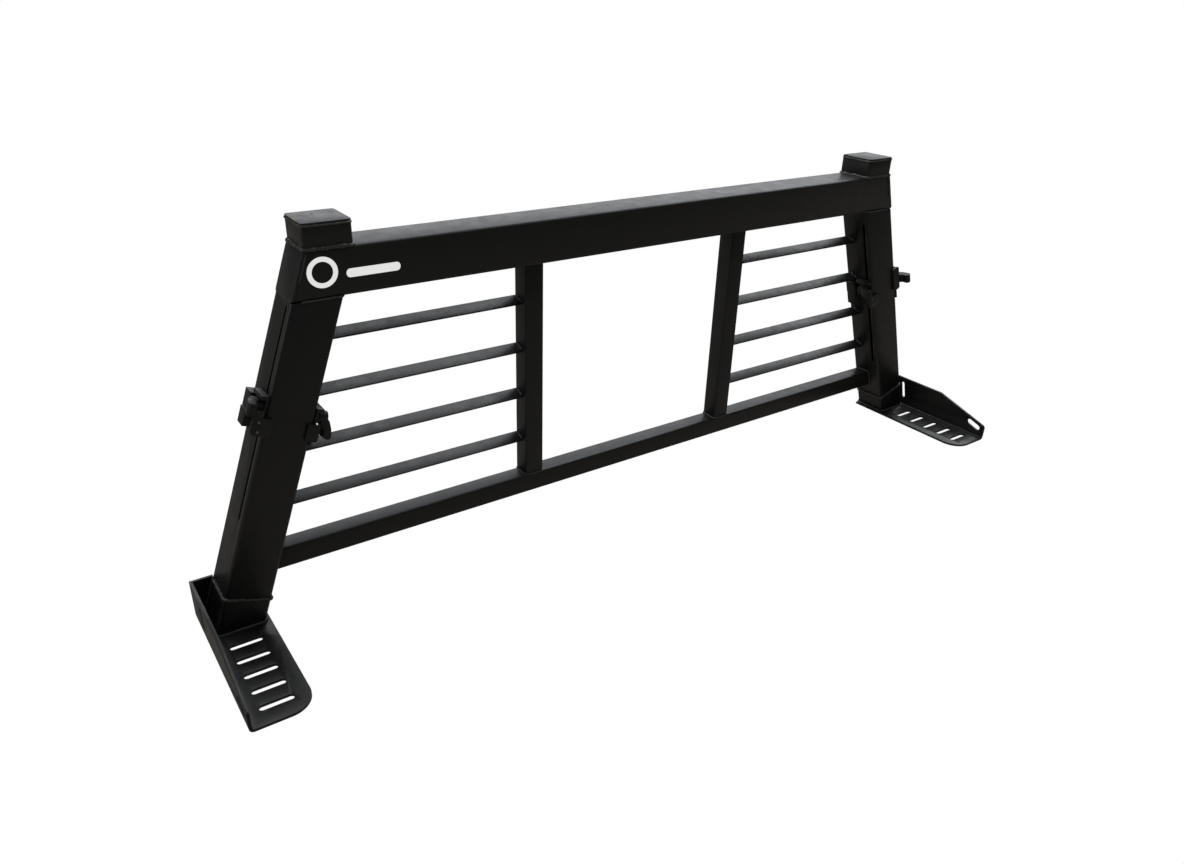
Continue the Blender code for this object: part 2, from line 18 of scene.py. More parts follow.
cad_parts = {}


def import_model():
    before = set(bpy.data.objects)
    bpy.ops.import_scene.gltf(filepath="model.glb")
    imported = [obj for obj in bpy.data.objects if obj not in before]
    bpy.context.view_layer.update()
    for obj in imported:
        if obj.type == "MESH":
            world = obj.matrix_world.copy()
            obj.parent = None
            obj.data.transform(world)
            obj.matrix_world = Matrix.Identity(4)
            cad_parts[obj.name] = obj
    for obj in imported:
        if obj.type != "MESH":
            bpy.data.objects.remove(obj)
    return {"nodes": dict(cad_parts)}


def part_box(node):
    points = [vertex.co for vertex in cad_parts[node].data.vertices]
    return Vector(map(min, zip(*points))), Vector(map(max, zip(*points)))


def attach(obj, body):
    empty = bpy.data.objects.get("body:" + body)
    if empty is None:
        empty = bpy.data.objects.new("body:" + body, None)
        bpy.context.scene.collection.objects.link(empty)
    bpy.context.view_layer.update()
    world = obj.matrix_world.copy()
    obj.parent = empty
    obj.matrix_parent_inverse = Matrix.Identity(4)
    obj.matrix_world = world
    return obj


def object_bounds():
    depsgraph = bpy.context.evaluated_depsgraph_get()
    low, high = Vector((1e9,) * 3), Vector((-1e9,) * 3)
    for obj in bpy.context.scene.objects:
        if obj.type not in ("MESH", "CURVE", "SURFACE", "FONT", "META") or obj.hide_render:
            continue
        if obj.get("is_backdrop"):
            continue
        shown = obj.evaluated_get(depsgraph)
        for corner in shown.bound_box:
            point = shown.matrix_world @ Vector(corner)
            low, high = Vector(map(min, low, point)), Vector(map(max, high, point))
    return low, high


LOG = logging.getLogger("headache_rack")
MILLIMETRE = 0.001

Socket = bpy.types.NodeSocket
Material = bpy.types.Material
Mesh = bpy.types.Mesh
Piece = bpy.types.Object
Colour = tuple[float, float, float]
Point = tuple[float, float, float]
Signal = float | Socket
Band = tuple[float, float]
Section = list[tuple[float, float]]
Placer = Callable[[float, float, float], Vector]

UNIT: Band = (0.0, 1.0)
NOISE_MIDDLE = 0.5


class Side(Enum):
    """The rack's two ends, with the sign of X there."""

    LEFT = -1
    RIGHT = 1

    @property
    def word(self) -> str:
        """The side's word in node names."""
        return self.name.lower()


class Face(Enum):
    """A leg's two slotted faces, with the sign of the way out of the face."""

    OUTER = 1
    INNER = -1

    @property
    def word(self) -> str:
        """The face's word in node names."""
        return self.name.lower()


class Slot(Enum):
    """The record's material slots."""

    FRAME = "frame_steel"
    FOOT = "foot_plate"
    CLEAT = "cleat_steel"
    ZINC = "zinc_steel"
    NYLON = "nylon"


class Pattern(Enum):
    """The kinds of fine surface that a coat can have, with how much dust each holds."""

    SATIN = "satin powder coat"
    COARSE = "coarse powder coat"
    MOULDED = "moulded plastic"

    @property
    def speckle(self) -> float:
        """The share of dust in the surface's fine pits."""
        return 0.35 if self is Pattern.COARSE else 0.18


def adjust(thing: object, **settings: object) -> None:
    """Sets a thing's properties."""
    for name, value in settings.items():
        setattr(thing, name, value)


def put(name: str, data: bpy.types.ID) -> Piece:
    """Puts an object in the scene.

    Args:
        name: The object's name.
        data: Its mesh, light or camera.

    Returns:
        The object.
    """
    thing = bpy.data.objects.new(name, data)
    bpy.context.scene.collection.objects.link(thing)
    return thing


# Node building


@dataclass(frozen=True)
class Noise:
    """The lumps of a noise: how many in a metre, and how many and how strong its finer layers are."""

    scale: float
    detail: float = 2.0
    rough: float = 0.5


class NodeBench:
    """Adds and joins the nodes of one tree."""

    def __init__(self, tree: bpy.types.NodeTree) -> None:
        """Starts on a tree."""
        self.tree = tree

    def add(
        self, kind: str, inputs: dict[str | int, object] | None = None, **settings: object
    ) -> bpy.types.Node:
        """Adds a node.

        Args:
            kind: The node's type name.
            inputs: An output socket or a plain value for each input, by its name or number.
            settings: Values for the node's own properties.

        Returns:
            The new node.
        """
        node = self.tree.nodes.new(kind)
        adjust(node, **settings)
        for name, value in (inputs or {}).items():
            self.feed(node.inputs[name], value)
        return node

    def feed(self, socket: Socket, value: object) -> None:
        """Joins a socket to another, or sets its value.

        Args:
            socket: The input that is fed.
            value: An output socket, or a plain value.
        """
        if isinstance(value, Socket):
            self.tree.links.new(value, socket)
        else:
            socket.default_value = value

    def math(self, operation: str, a: Signal, b: Signal = 0.0) -> Socket:
        """Works out one sum of two numbers."""
        return self.add("ShaderNodeMath", {0: a, 1: b}, operation=operation).outputs[0]

    def remap(self, value: Signal, band: Band, to: Band = UNIT) -> Socket:
        """Maps a band of numbers onto another, with its ends held."""
        numbers = dict(enumerate((value, *band, *to)))
        return self.add("ShaderNodeMapRange", numbers).outputs[0]

    def noise(
        self, noise: Noise, place: Socket | None = None, seed: Signal | None = None
    ) -> bpy.types.Node:
        """Adds a noise texture.

        Args:
            noise: Its lumps.
            place: The coordinates that it reads, or None for the points' own.
            seed: The pattern's seed, or None where it has none.

        Returns:
            The noise node.
        """
        inputs = {"Scale": noise.scale, "Detail": noise.detail, "Roughness": noise.rough}
        if place is not None:
            inputs["Vector"] = place
        if seed is None:
            return self.add("ShaderNodeTexNoise", inputs)
        return self.add("ShaderNodeTexNoise", {**inputs, "W": seed}, noise_dimensions="4D")

    def blend(self, share: Signal, first: object, second: object) -> Socket:
        """Mixes two colours, with a share of the second."""
        return self.add("ShaderNodeMix", {0: share, 6: first, 7: second}, data_type="RGBA").outputs[2]

    def bump(self, height: Signal, depth: float, normal: Socket | None = None) -> Socket:
        """Adds a Bump node.

        Args:
            height: The relief, from 0 to 1.
            depth: How deep the relief is, in metres.
            normal: The relief that it lies on.

        Returns:
            The normal's socket.
        """
        inputs = {"Strength": 1.0, "Distance": depth, "Height": height}
        if normal is not None:
            inputs["Normal"] = normal
        return self.add("ShaderNodeBump", inputs).outputs[0]


class FinishBench(NodeBench):
    """The bench of a new material."""

    def __init__(self, name: str, colour: Colour) -> None:
        """Starts the material.

        Args:
            name: The material's name.
            colour: Its plain colour.
        """
        self.material = bpy.data.materials.new(name)
        self.material.use_nodes = True
        self.material.diffuse_color = opaque(colour)
        super().__init__(self.material.node_tree)

    def place(self) -> Socket:
        """The coordinates of the piece's own points."""
        return self.add("ShaderNodeTexCoord").outputs["Object"]

    def surface(self, inputs: dict[str, object]) -> Material:
        """Sets the surface.

        Args:
            inputs: An output socket or a plain value for each of the shader's inputs.

        Returns:
            The finished material.
        """
        shader = self.tree.nodes["Principled BSDF"]
        for name, value in inputs.items():
            self.feed(shader.inputs[name], value)
        return self.material


def opaque(colour: Colour) -> tuple[float, float, float, float]:
    """The colour with full alpha."""
    return (*colour, 1.0)


# Finishes


@dataclass(frozen=True)
class Coat:
    """A painted or moulded black surface with a fine relief, slow drift in colour and lighter edges: a
    painted edge highlight where the coat also pulls thin.
    """

    name: str
    slot: Slot
    colour: Colour
    dusty: Colour
    # The edges' colour: a painted edge highlight over coat that pulls thin there.
    edge: Colour
    roughness: float
    pattern: Pattern = Pattern.SATIN
    specular: float = 0.5
    peel: Noise = Noise(520.0, 1.5, 0.45)
    peel_depth: float = 0.00009
    grain: Noise = Noise(2600.0, 1.0)
    grain_depth: float = 0.000018
    edge_radius: float = 0.0014
    edge_share: float = 0.5
    edge_band: Band = (0.995, 0.90)
    drift: Noise = Noise(5.0, 3.0, 0.55)
    drift_band: Band = (0.38, 0.68)
    cloud: Noise = Noise(38.0, 4.0, 0.6)
    cloud_band: Band = (0.35, 0.7)
    cloud_dust: Band = (0.25, 1.0)
    # How far the painted edge highlight, with the thin coat, lightens the edges, varied by the cloud
    # noise.
    sheen_and_wear_band: Band = (0.3, 0.62)
    sheen_and_wear: Band = (0.2, 1.0)
    speckle_band: Band = (0.58, 0.74)
    gloss_band: Band = (0.3, 0.7)
    cloud_gloss: Band = (-0.05, 0.07)
    peel_gloss: Band = (-0.03, 0.03)

    def edge_mask(self, bench: NodeBench) -> Socket:
        """Finds the edges, where the coat pulls thin and a painted highlight lightens it.

        Args:
            bench: The material's bench.

        Returns:
            A socket that is 1 on an edge and 0 on a flat.
        """
        eased = bench.add("ShaderNodeBevel", {"Radius": self.edge_radius}, samples=3).outputs[0]
        flat = bench.add("ShaderNodeNewGeometry").outputs["Normal"]
        dot = bench.add("ShaderNodeVectorMath", {0: eased, 1: flat}, operation="DOT_PRODUCT")
        return bench.remap(dot.outputs["Value"], self.edge_band)

    def build(self) -> Material:
        """Makes the material.

        Returns:
            The material, ready for any piece of this finish.
        """
        bench = FinishBench(self.name, self.colour)
        place = bench.place()
        drift = bench.noise(self.drift, place).outputs["Fac"]
        cloud = bench.noise(self.cloud, place).outputs["Fac"]
        peel = bench.noise(self.peel, place).outputs["Fac"]
        grain = bench.noise(self.grain, place).outputs["Fac"]
        dusty = opaque(self.dusty)
        dust = bench.remap(cloud, self.cloud_band, self.cloud_dust)
        patch = bench.math("MULTIPLY", bench.remap(drift, self.drift_band), dust)
        speckle = bench.remap(grain, self.speckle_band, (0.0, self.pattern.speckle))
        base = bench.blend(patch, opaque(self.colour), dusty)
        base = bench.blend(speckle, base, dusty)
        # Lighter edges: a painted edge highlight, partly the coat pulled thin, varied by the cloud
        # noise.
        sheen_and_wear = bench.remap(cloud, self.sheen_and_wear_band, self.sheen_and_wear)
        edge_sheen_and_wear = bench.math("MULTIPLY", self.edge_mask(bench), sheen_and_wear)
        edge_sheen_and_wear = bench.math("MULTIPLY", edge_sheen_and_wear, self.edge_share)
        low, high = self.cloud_gloss
        rough = bench.remap(cloud, self.gloss_band, (self.roughness + low, self.roughness + high))
        rough = bench.math("ADD", rough, bench.remap(peel, self.gloss_band, self.peel_gloss))
        relief = bench.bump(grain, self.grain_depth, bench.bump(peel, self.peel_depth))
        return bench.surface(
            {
                "Base Color": bench.blend(edge_sheen_and_wear, base, opaque(self.edge)),
                "Roughness": rough,
                "Normal": relief,
                "Specular IOR Level": self.specular,
            }
        )


@dataclass(frozen=True)
class PlatedSteel:
    """Zinc-plated steel with turning marks and dull patches."""

    name: str = "zinc_plate"
    colour: Colour = (0.32, 0.33, 0.34)
    dull: Colour = (0.16, 0.16, 0.165)
    metallic: float = 0.9
    patches: Noise = Noise(160.0, 4.0, 0.6)
    dull_band: Band = (0.4, 0.65)
    gloss_band: Band = (0.35, 0.7)
    roughness: float = 0.34
    dull_roughness: float = 0.22
    marks: Noise = Noise(2400.0, 2.0)
    mark_depth: float = 0.00001

    def build(self) -> Material:
        """Makes the material.

        Returns:
            The plated material.
        """
        bench = FinishBench(self.name, self.colour)
        place = bench.place()
        patch = bench.noise(self.patches, place).outputs["Fac"]
        marks = bench.noise(self.marks, place).outputs["Fac"]
        dull = bench.remap(patch, self.dull_band)
        rough = (self.roughness, self.roughness + self.dull_roughness)
        return bench.surface(
            {
                "Base Color": bench.blend(dull, opaque(self.colour), opaque(self.dull)),
                "Roughness": bench.remap(patch, self.gloss_band, rough),
                "Normal": bench.bump(marks, self.mark_depth),
                "Metallic": self.metallic,
            }
        )


@dataclass(frozen=True)
class MarkPaint:
    """The white paint of the plain mark on the beam, with a painted glow so that it stays white in dim
    light.
    """

    name: str = "white_mark_paint"
    colour: Colour = (0.86, 0.86, 0.85)
    thin: Colour = (0.62, 0.62, 0.61)
    # A painted glow: the paint gives off light, though it is no lamp.
    glow: float = 0.72
    cover: Noise = Noise(420.0, 4.0, 0.6)
    thin_band: Band = (0.55, 0.75)
    gloss_band: Band = (0.3, 0.7)
    roughness: Band = (0.42, 0.58)
    grain: Noise = Noise(1500.0, 1.0)
    grain_depth: float = 0.00002

    def build(self) -> Material:
        """Makes the material.

        Returns:
            The white paint.
        """
        bench = FinishBench(self.name, self.colour)
        place = bench.place()
        cover = bench.noise(self.cover, place).outputs["Fac"]
        grain = bench.noise(self.grain, place).outputs["Fac"]
        thin = bench.remap(cover, self.thin_band)
        return bench.surface(
            {
                "Base Color": bench.blend(thin, opaque(self.colour), opaque(self.thin)),
                "Roughness": bench.remap(cover, self.gloss_band, self.roughness),
                "Normal": bench.bump(grain, self.grain_depth),
                # Painted glow from the white paint.
                "Emission Color": opaque(self.colour),
                "Emission Strength": self.glow,
            }
        )


# Geometry Nodes


class GeometryTree:
    """A Geometry Nodes tree with named inputs, which ends in Realize Instances and Set Material."""

    def __init__(self, name: str) -> None:
        """Starts an empty tree.

        Args:
            name: The tree's name.
        """
        self.tree = bpy.data.node_groups.new(name, "GeometryNodeTree")
        self.bench = NodeBench(self.tree)
        self.entry = self.bench.add("NodeGroupInput")
        self.exit = self.bench.add("NodeGroupOutput")
        interface = self.tree.interface
        interface.new_socket("Geometry", in_out="OUTPUT", socket_type="NodeSocketGeometry")
        interface.new_socket("Source", in_out="INPUT", socket_type="NodeSocketGeometry")

    def number(self, name: str, value: float) -> Socket:
        """Adds a named number.

        Args:
            name: The input's name.
            value: Its usual value.

        Returns:
            The socket that gives it.
        """
        item = self.tree.interface.new_socket(name, in_out="INPUT", socket_type="NodeSocketFloat")
        item.default_value = value
        return self.entry.outputs[name]

    def unsettle(self, geometry: Socket, noise: Noise, seed: Signal, reach: Signal) -> Socket:
        """Moves points unevenly.

        Args:
            geometry: The points' geometry.
            noise: The lumps that the move follows.
            seed: The pattern's seed.
            reach: How far the noise moves a point.

        Returns:
            The moved geometry's socket.
        """
        bench = self.bench
        wave = bench.noise(noise, seed=seed).outputs["Color"]
        middle = (NOISE_MIDDLE,) * 3
        shift = bench.add("ShaderNodeVectorMath", {0: wave, 1: middle}, operation="SUBTRACT").outputs[0]
        move = bench.add("ShaderNodeVectorMath", {0: shift, "Scale": reach}, operation="SCALE")
        inputs = {"Geometry": geometry, "Offset": move.outputs[0]}
        return bench.add("GeometryNodeSetPosition", inputs).outputs[0]

    def finish(self, geometry: Socket) -> None:
        """Shades what the tree has made smooth, and ends the tree.

        Args:
            geometry: What the tree has made.
        """
        bench = self.bench
        self.tree.interface.new_socket("Finish", in_out="INPUT", socket_type="NodeSocketMaterial")
        smooth = bench.add("GeometryNodeSetShadeSmooth", {"Geometry": geometry}).outputs[0]
        real = bench.add("GeometryNodeRealizeInstances", {"Geometry": smooth}).outputs[0]
        coat = self.entry.outputs["Finish"]
        dressed = bench.add("GeometryNodeSetMaterial", {"Geometry": real, "Material": coat}).outputs[0]
        bench.feed(self.exit.inputs["Geometry"], dressed)

    def grow(self, name: str, source: Mesh, values: dict[str, object]) -> Piece:
        """Runs the tree on a mesh and keeps the result as a plain mesh.

        Args:
            name: The new piece's name.
            source: The lines or points that the tree works on.
            values: The named inputs' values.

        Returns:
            The new piece, at the origin, with no modifier.
        """
        carrier = put(f"{name}_source", source)
        modifier = carrier.modifiers.new("tree", "NODES")
        modifier.node_group = self.tree
        for item in self.tree.interface.items_tree:
            if item.in_out == "INPUT" and item.name in values:
                modifier[item.identifier] = values[item.name]
        graph = bpy.context.evaluated_depsgraph_get()
        mesh = bpy.data.meshes.new_from_object(carrier.evaluated_get(graph))
        mesh.name = name
        bpy.data.objects.remove(carrier, do_unlink=True)
        return put(name, mesh)


class WeldBeadTree(GeometryTree):
    """Lays a rippled weld bead along each line of its source."""

    PROFILE_SIDES = 8
    STEPS_IN_RIPPLE = 4.0
    WANDER = Noise(120.0, 3.0)
    WANDER_GAIN = 4.0
    SWELL = Noise(170.0)
    SWELL_SEED_STEP = 7.0
    SWELL_GAIN = 2.0
    END_RADII = 1.6
    END_SIZE = 0.3
    LEAST_SIZE = 0.12

    def __init__(self) -> None:
        """Builds the tree."""
        super().__init__("weld_bead")
        radius = self.number("Bead Radius", 0.002)
        pitch = self.number("Ripple Pitch", 0.0025)
        depth = self.number("Ripple Depth", 0.25)
        wander = self.number("Wander", 0.0004)
        lumps = self.number("Lumps", 0.4)
        seed = self.number("Seed", 1.0)
        taper = self.number("End Taper", 1.0)
        bench = self.bench
        line = bench.add("GeometryNodeMeshToCurve", {"Mesh": self.entry.outputs["Source"]}).outputs[0]
        step = bench.math("DIVIDE", pitch, self.STEPS_IN_RIPPLE)
        even = bench.add("GeometryNodeResampleCurve", {"Curve": line, "Length": step}, mode="LENGTH")
        reach = bench.math("MULTIPLY", wander, self.WANDER_GAIN)
        path = self.unsettle(even.outputs["Curve"], self.WANDER, seed, reach)
        ring = {"Resolution": self.PROFILE_SIDES, "Radius": radius}
        sweep = {
            "Curve": path,
            "Profile Curve": bench.add("GeometryNodeCurvePrimitiveCircle", ring).outputs["Curve"],
            "Scale": self.bead_scale(radius, pitch, depth, lumps, seed, taper),
            "Fill Caps": True,
        }
        self.finish(bench.add("GeometryNodeCurveToMesh", sweep).outputs["Mesh"])

    def bead_scale(
        self, radius: Signal, pitch: Signal, depth: Signal, lumps: Signal, seed: Signal, taper: Signal
    ) -> Socket:
        """How fat the bead is along its line.

        Args:
            radius: The bead's usual radius.
            pitch: The length of one ripple.
            depth: How deep the ripples dip, from 0 to 1.
            lumps: How much the bead swells and thins, from 0 to 1.
            seed: The pattern's seed.
            taper: 1 where open ends thin out, 0 where they don't.

        Returns:
            The scale's socket.
        """
        bench = self.bench
        work = bench.math
        along = bench.add("GeometryNodeSplineParameter").outputs["Length"]
        whole = bench.add("GeometryNodeSplineLength").outputs["Length"]
        turn = work("MULTIPLY", work("DIVIDE", along, pitch), math.pi)
        ripple = work("ABSOLUTE", work("SINE", turn))
        dip = work("MULTIPLY", work("SUBTRACT", 1.0, ripple), depth)
        swell = bench.noise(self.SWELL, seed=work("ADD", seed, self.SWELL_SEED_STEP))
        lump = work("SUBTRACT", swell.outputs["Fac"], NOISE_MIDDLE)
        fat = work("MULTIPLY", work("MULTIPLY", lump, lumps), self.SWELL_GAIN)
        size = work("ADD", work("SUBTRACT", 1.0, dip), fat)
        to_end = work("MINIMUM", along, work("SUBTRACT", whole, along))
        near_end = work("DIVIDE", to_end, work("MULTIPLY", radius, self.END_RADII))
        end = work("MINIMUM", work("ADD", near_end, self.END_SIZE), 1.0)
        loss = work("MULTIPLY", work("SUBTRACT", 1.0, end), taper)
        left = work("MULTIPLY", size, work("SUBTRACT", 1.0, loss))
        return work("MAXIMUM", left, self.LEAST_SIZE)


class DomeTree(GeometryTree):
    """Puts a low dome on each point of its source, along the point's axis attribute."""

    AXIS = "axis"
    SEGMENTS = 20
    RINGS = 10
    UNEVEN = Noise(260.0)

    def __init__(self) -> None:
        """Builds the tree."""
        super().__init__("dome_heads")
        radius = self.number("Head Radius", 0.003)
        height = self.number("Head Height", 0.0015)
        lumps = self.number("Lumps", 0.0)
        seed = self.number("Seed", 1.0)
        add = self.bench.add
        ball = {"Segments": self.SEGMENTS, "Rings": self.RINGS, "Radius": 1.0}
        axis = add("GeometryNodeInputNamedAttribute", {"Name": self.AXIS}, data_type="FLOAT_VECTOR")
        way = {"Vector": axis.outputs["Attribute"]}
        domes = {
            "Points": self.entry.outputs["Source"],
            "Instance": add("GeometryNodeMeshUVSphere", ball).outputs["Mesh"],
            "Rotation": add("FunctionNodeAlignRotationToVector", way, axis="Z").outputs["Rotation"],
            "Scale": add("ShaderNodeCombineXYZ", {0: radius, 1: radius, 2: height}).outputs["Vector"],
        }
        placed = add("GeometryNodeInstanceOnPoints", domes).outputs["Instances"]
        real = add("GeometryNodeRealizeInstances", {"Geometry": placed}).outputs["Geometry"]
        self.finish(self.unsettle(real, self.UNEVEN, seed, lumps))


class SmoothFlatsTree:
    """Shades a solid smooth but for its edges, and drops the normals that it came with."""

    def __init__(self, limit: float) -> None:
        """Builds the tree.

        Args:
            limit: The angle in radians past which an edge stays sharp.
        """
        self.tree = bpy.data.node_groups.new("smooth_flats", "GeometryNodeTree")
        for way in ("OUTPUT", "INPUT"):
            self.tree.interface.new_socket("Geometry", in_out=way, socket_type="NodeSocketGeometry")
        add = NodeBench(self.tree).add
        solid = add("NodeGroupInput").outputs["Geometry"]
        plain = add("GeometryNodeRemoveAttribute", {"Geometry": solid, "Name": "custom_normal"})
        given = {"Geometry": plain.outputs["Geometry"]}
        faces = add("GeometryNodeSetShadeSmooth", given, domain="FACE").outputs["Geometry"]
        angle = add("GeometryNodeInputMeshEdgeAngle").outputs["Unsigned Angle"]
        test = {"data_type": "FLOAT", "operation": "LESS_THAN"}
        soft = add("FunctionNodeCompare", {0: angle, 1: limit}, **test).outputs[0]
        given = {"Geometry": faces, "Shade Smooth": soft}
        edges = add("GeometryNodeSetShadeSmooth", given, domain="EDGE").outputs["Geometry"]
        add("NodeGroupOutput", {"Geometry": edges})


# Mesh helpers


def arc(
    centre: tuple[float, float], radius: float, start: float, end: float, steps: int = 6
) -> Section:
    """Points of a round corner, from one angle in degrees to another."""
    angles = [math.radians(start + (end - start) * i / steps) for i in range(steps + 1)]
    return [(centre[0] + radius * math.cos(a), centre[1] + radius * math.sin(a)) for a in angles]


def rounded_rectangle(width: float, height: float, radius: float, steps: int = 6) -> Section:
    """A rectangle about the origin with round corners, anticlockwise.

    Args:
        width: Its width.
        height: Its height.
        radius: Its corners' radius.
        steps: How many steps each corner takes.

    Returns:
        The points, in order.
    """
    x = width / 2 - radius
    y = height / 2 - radius
    corners = (((x, y), 0), ((-x, y), 90), ((-x, -y), 180), ((x, -y), 270))
    arcs = [arc(centre, radius, start, start + 90, steps) for centre, start in corners]
    return [point for points in arcs for point in points]


@dataclass
class Run:
    """One weld's line."""

    points: list[Vector]
    closed: bool = False


def line_mesh(name: str, runs: Iterable[Run]) -> Mesh:
    """A mesh of loose edges along the runs.

    Args:
        name: The mesh's name.
        runs: The lines.

    Returns:
        The mesh.
    """
    points: list[Vector] = []
    edges: list[tuple[int, int]] = []
    for run in runs:
        first = len(points)
        points.extend(run.points)
        last = len(points) - 1
        edges.extend((i, i + 1) for i in range(first, last))
        if run.closed:
            edges.append((last, first))
    mesh = bpy.data.meshes.new(name)
    mesh.from_pydata(points, edges, [])
    return mesh


def point_mesh(name: str, points: Sequence[Vector], axis: Vector) -> Mesh:
    """A mesh of loose points that each hold the same axis.

    Args:
        name: The mesh's name.
        points: The points.
        axis: The way out of the surface.

    Returns:
        The mesh.
    """
    mesh = bpy.data.meshes.new(name)
    mesh.from_pydata(list(points), [], [])
    for item in mesh.attributes.new(DomeTree.AXIS, "FLOAT_VECTOR", "POINT").data:
        item.vector = axis
    return mesh


def plate_mesh(name: str, outlines: Sequence[Section], place: Placer, thick: float) -> Mesh:
    """A thin closed plate with an optional hole.

    Args:
        name: The mesh's name.
        outlines: The outer outline, and the hole's with as many points, if it has one.
        place: Gives the world point of an outline point and a height.
        thick: The plate's thickness.

    Returns:
        The mesh, with its faces outwards.
    """
    bm = bmesh.new()
    loops = []
    for outline in outlines:
        low = [bm.verts.new(place(x, y, 0.0)) for x, y in outline]
        high = [bm.verts.new(place(x, y, thick)) for x, y in outline]
        loops.append((low, high))
        for i in range(len(outline)):
            j = (i + 1) % len(outline)
            bm.faces.new((low[i], low[j], high[j], high[i]))
    for level in (0, 1):
        if len(loops) == 1:
            bm.faces.new(loops[0][level])
            continue
        outer = loops[0][level]
        inner = loops[1][level]
        for i in range(len(outer)):
            j = (i + 1) % len(outer)
            bm.faces.new((outer[i], outer[j], inner[j], inner[i]))
    bmesh.ops.recalc_face_normals(bm, faces=bm.faces)
    mesh = bpy.data.meshes.new(name)
    bm.to_mesh(mesh)
    bm.free()
    return mesh


def piece_of(name: str, mesh: Mesh, material: Material) -> Piece:
    """Puts a mesh in the scene as a piece at the origin.

    Args:
        name: The piece's name.
        mesh: Its mesh, with its place in it.
        material: Its finish.

    Returns:
        The piece.
    """
    mesh.materials.append(material)
    return put(name, mesh)


def box_middle(name: str) -> Vector:
    """The middle of a node's box at rest."""
    low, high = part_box(name)
    return (low + high) / 2


# The rack's own lines


@dataclass
class RackLines:
    """The planes and heights that welds and seams follow. Heights and depths come from the frame."""

    leg_tilt: float = math.radians(19.4)
    tube: float = 0.0762
    tube_corner: float = 0.006
    small_tube: float = 0.0381
    small_corner: float = 0.0035
    plate: float = 0.0048
    stub_length: float = 0.0603
    back_y: float = field(init=False)
    front_y: float = field(init=False)
    middle_y: float = field(init=False)
    beam_underside: float = field(init=False)
    beam_top: float = field(init=False)
    foot_x: float = field(init=False)

    def __post_init__(self) -> None:
        """Reads the frame."""
        leg_low, leg_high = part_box("leg_right")
        beam_low, beam_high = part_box("top_beam")
        cap_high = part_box("beam_end_cap_right")[1]
        self.back_y = leg_high.y
        self.front_y = leg_low.y
        self.middle_y = (leg_low.y + leg_high.y) / 2
        self.beam_underside = beam_low.z
        self.beam_top = beam_high.z
        self.foot_x = cap_high.x + beam_low.z * math.tan(self.leg_tilt) - self.half_run

    @property
    def half_run(self) -> float:
        """Half of a leg's level width."""
        return self.tube / 2 / math.cos(self.leg_tilt)

    def face_x(self, face: Face, z: float) -> float:
        """How far a leg's face stands from the middle at a height."""
        return self.foot_x + face.value * self.half_run - z * math.tan(self.leg_tilt)

    def leg_out(self, side: Side) -> Vector:
        """The way out of a leg's outer face."""
        return Vector((side.value * math.cos(self.leg_tilt), 0.0, math.sin(self.leg_tilt)))

    def leg_up(self, side: Side) -> Vector:
        """The way up a leg."""
        return Vector((-side.value * math.sin(self.leg_tilt), 0.0, math.cos(self.leg_tilt)))

    def way_up(self, out: float, height: float) -> float:
        """How far up a leg a height is reached, at a distance out from its centreline."""
        return (height - out * math.sin(self.leg_tilt)) / math.cos(self.leg_tilt)

    def leg_point(self, side: Side, out: float, back: float, up: float) -> Vector:
        """The point that is out and back from a leg's centreline, and up along it from the floor."""
        start = Vector((side.value * self.foot_x, self.middle_y + back, 0.0))
        return start + self.leg_out(side) * out + self.leg_up(side) * up

    def leg_loop(
        self, side: Side, stand: float, square_at: float | None = None, level_at: float = 0.0
    ) -> Run:
        """A closed line round a leg.

        Args:
            side: Which leg.
            stand: How far the line stands off the leg's faces.
            square_at: Its distance up the leg where it runs square to it, or None where it is level.
            level_at: Its height where it is level.

        Returns:
            The line.
        """
        width = self.tube + 2 * stand
        points = []
        for out, back in rounded_rectangle(width, width, self.tube_corner + stand):
            up = self.way_up(out, level_at) if square_at is None else square_at
            points.append(self.leg_point(side, out, back, up))
        return Run(points, True)

    def leg_collar(self, side: Side, level_at: float, clear: float) -> Run:
        """A level line round a leg's back, inner and front faces that leaves its outer corners bare.

        Args:
            side: Which leg.
            level_at: The line's height.
            clear: How far in from the outer face it starts and ends.

        Returns:
            The line.
        """
        half = self.tube / 2
        limit = half - clear
        ring = rounded_rectangle(self.tube, self.tube, self.tube_corner)
        turns = [point for point in ring if point[0] < limit]
        places = ((limit, half), *turns, (limit, -half))
        levels = [(out, back, self.way_up(out, level_at)) for out, back in places]
        return Run([self.leg_point(side, *place) for place in levels])


@dataclass(frozen=True)
class Bead:
    """The look of one kind of weld."""

    radius: float
    pitch: float = 0.0026
    depth: float = 0.24
    wander: float = 0.0003
    lumps: float = 0.35
    taper: float = 1.0


@dataclass(frozen=True)
class Dome:
    """The look of one kind of dome: its radius, its height and how uneven it is, in metres."""

    radius: float
    height: float
    lumps: float = 0.0


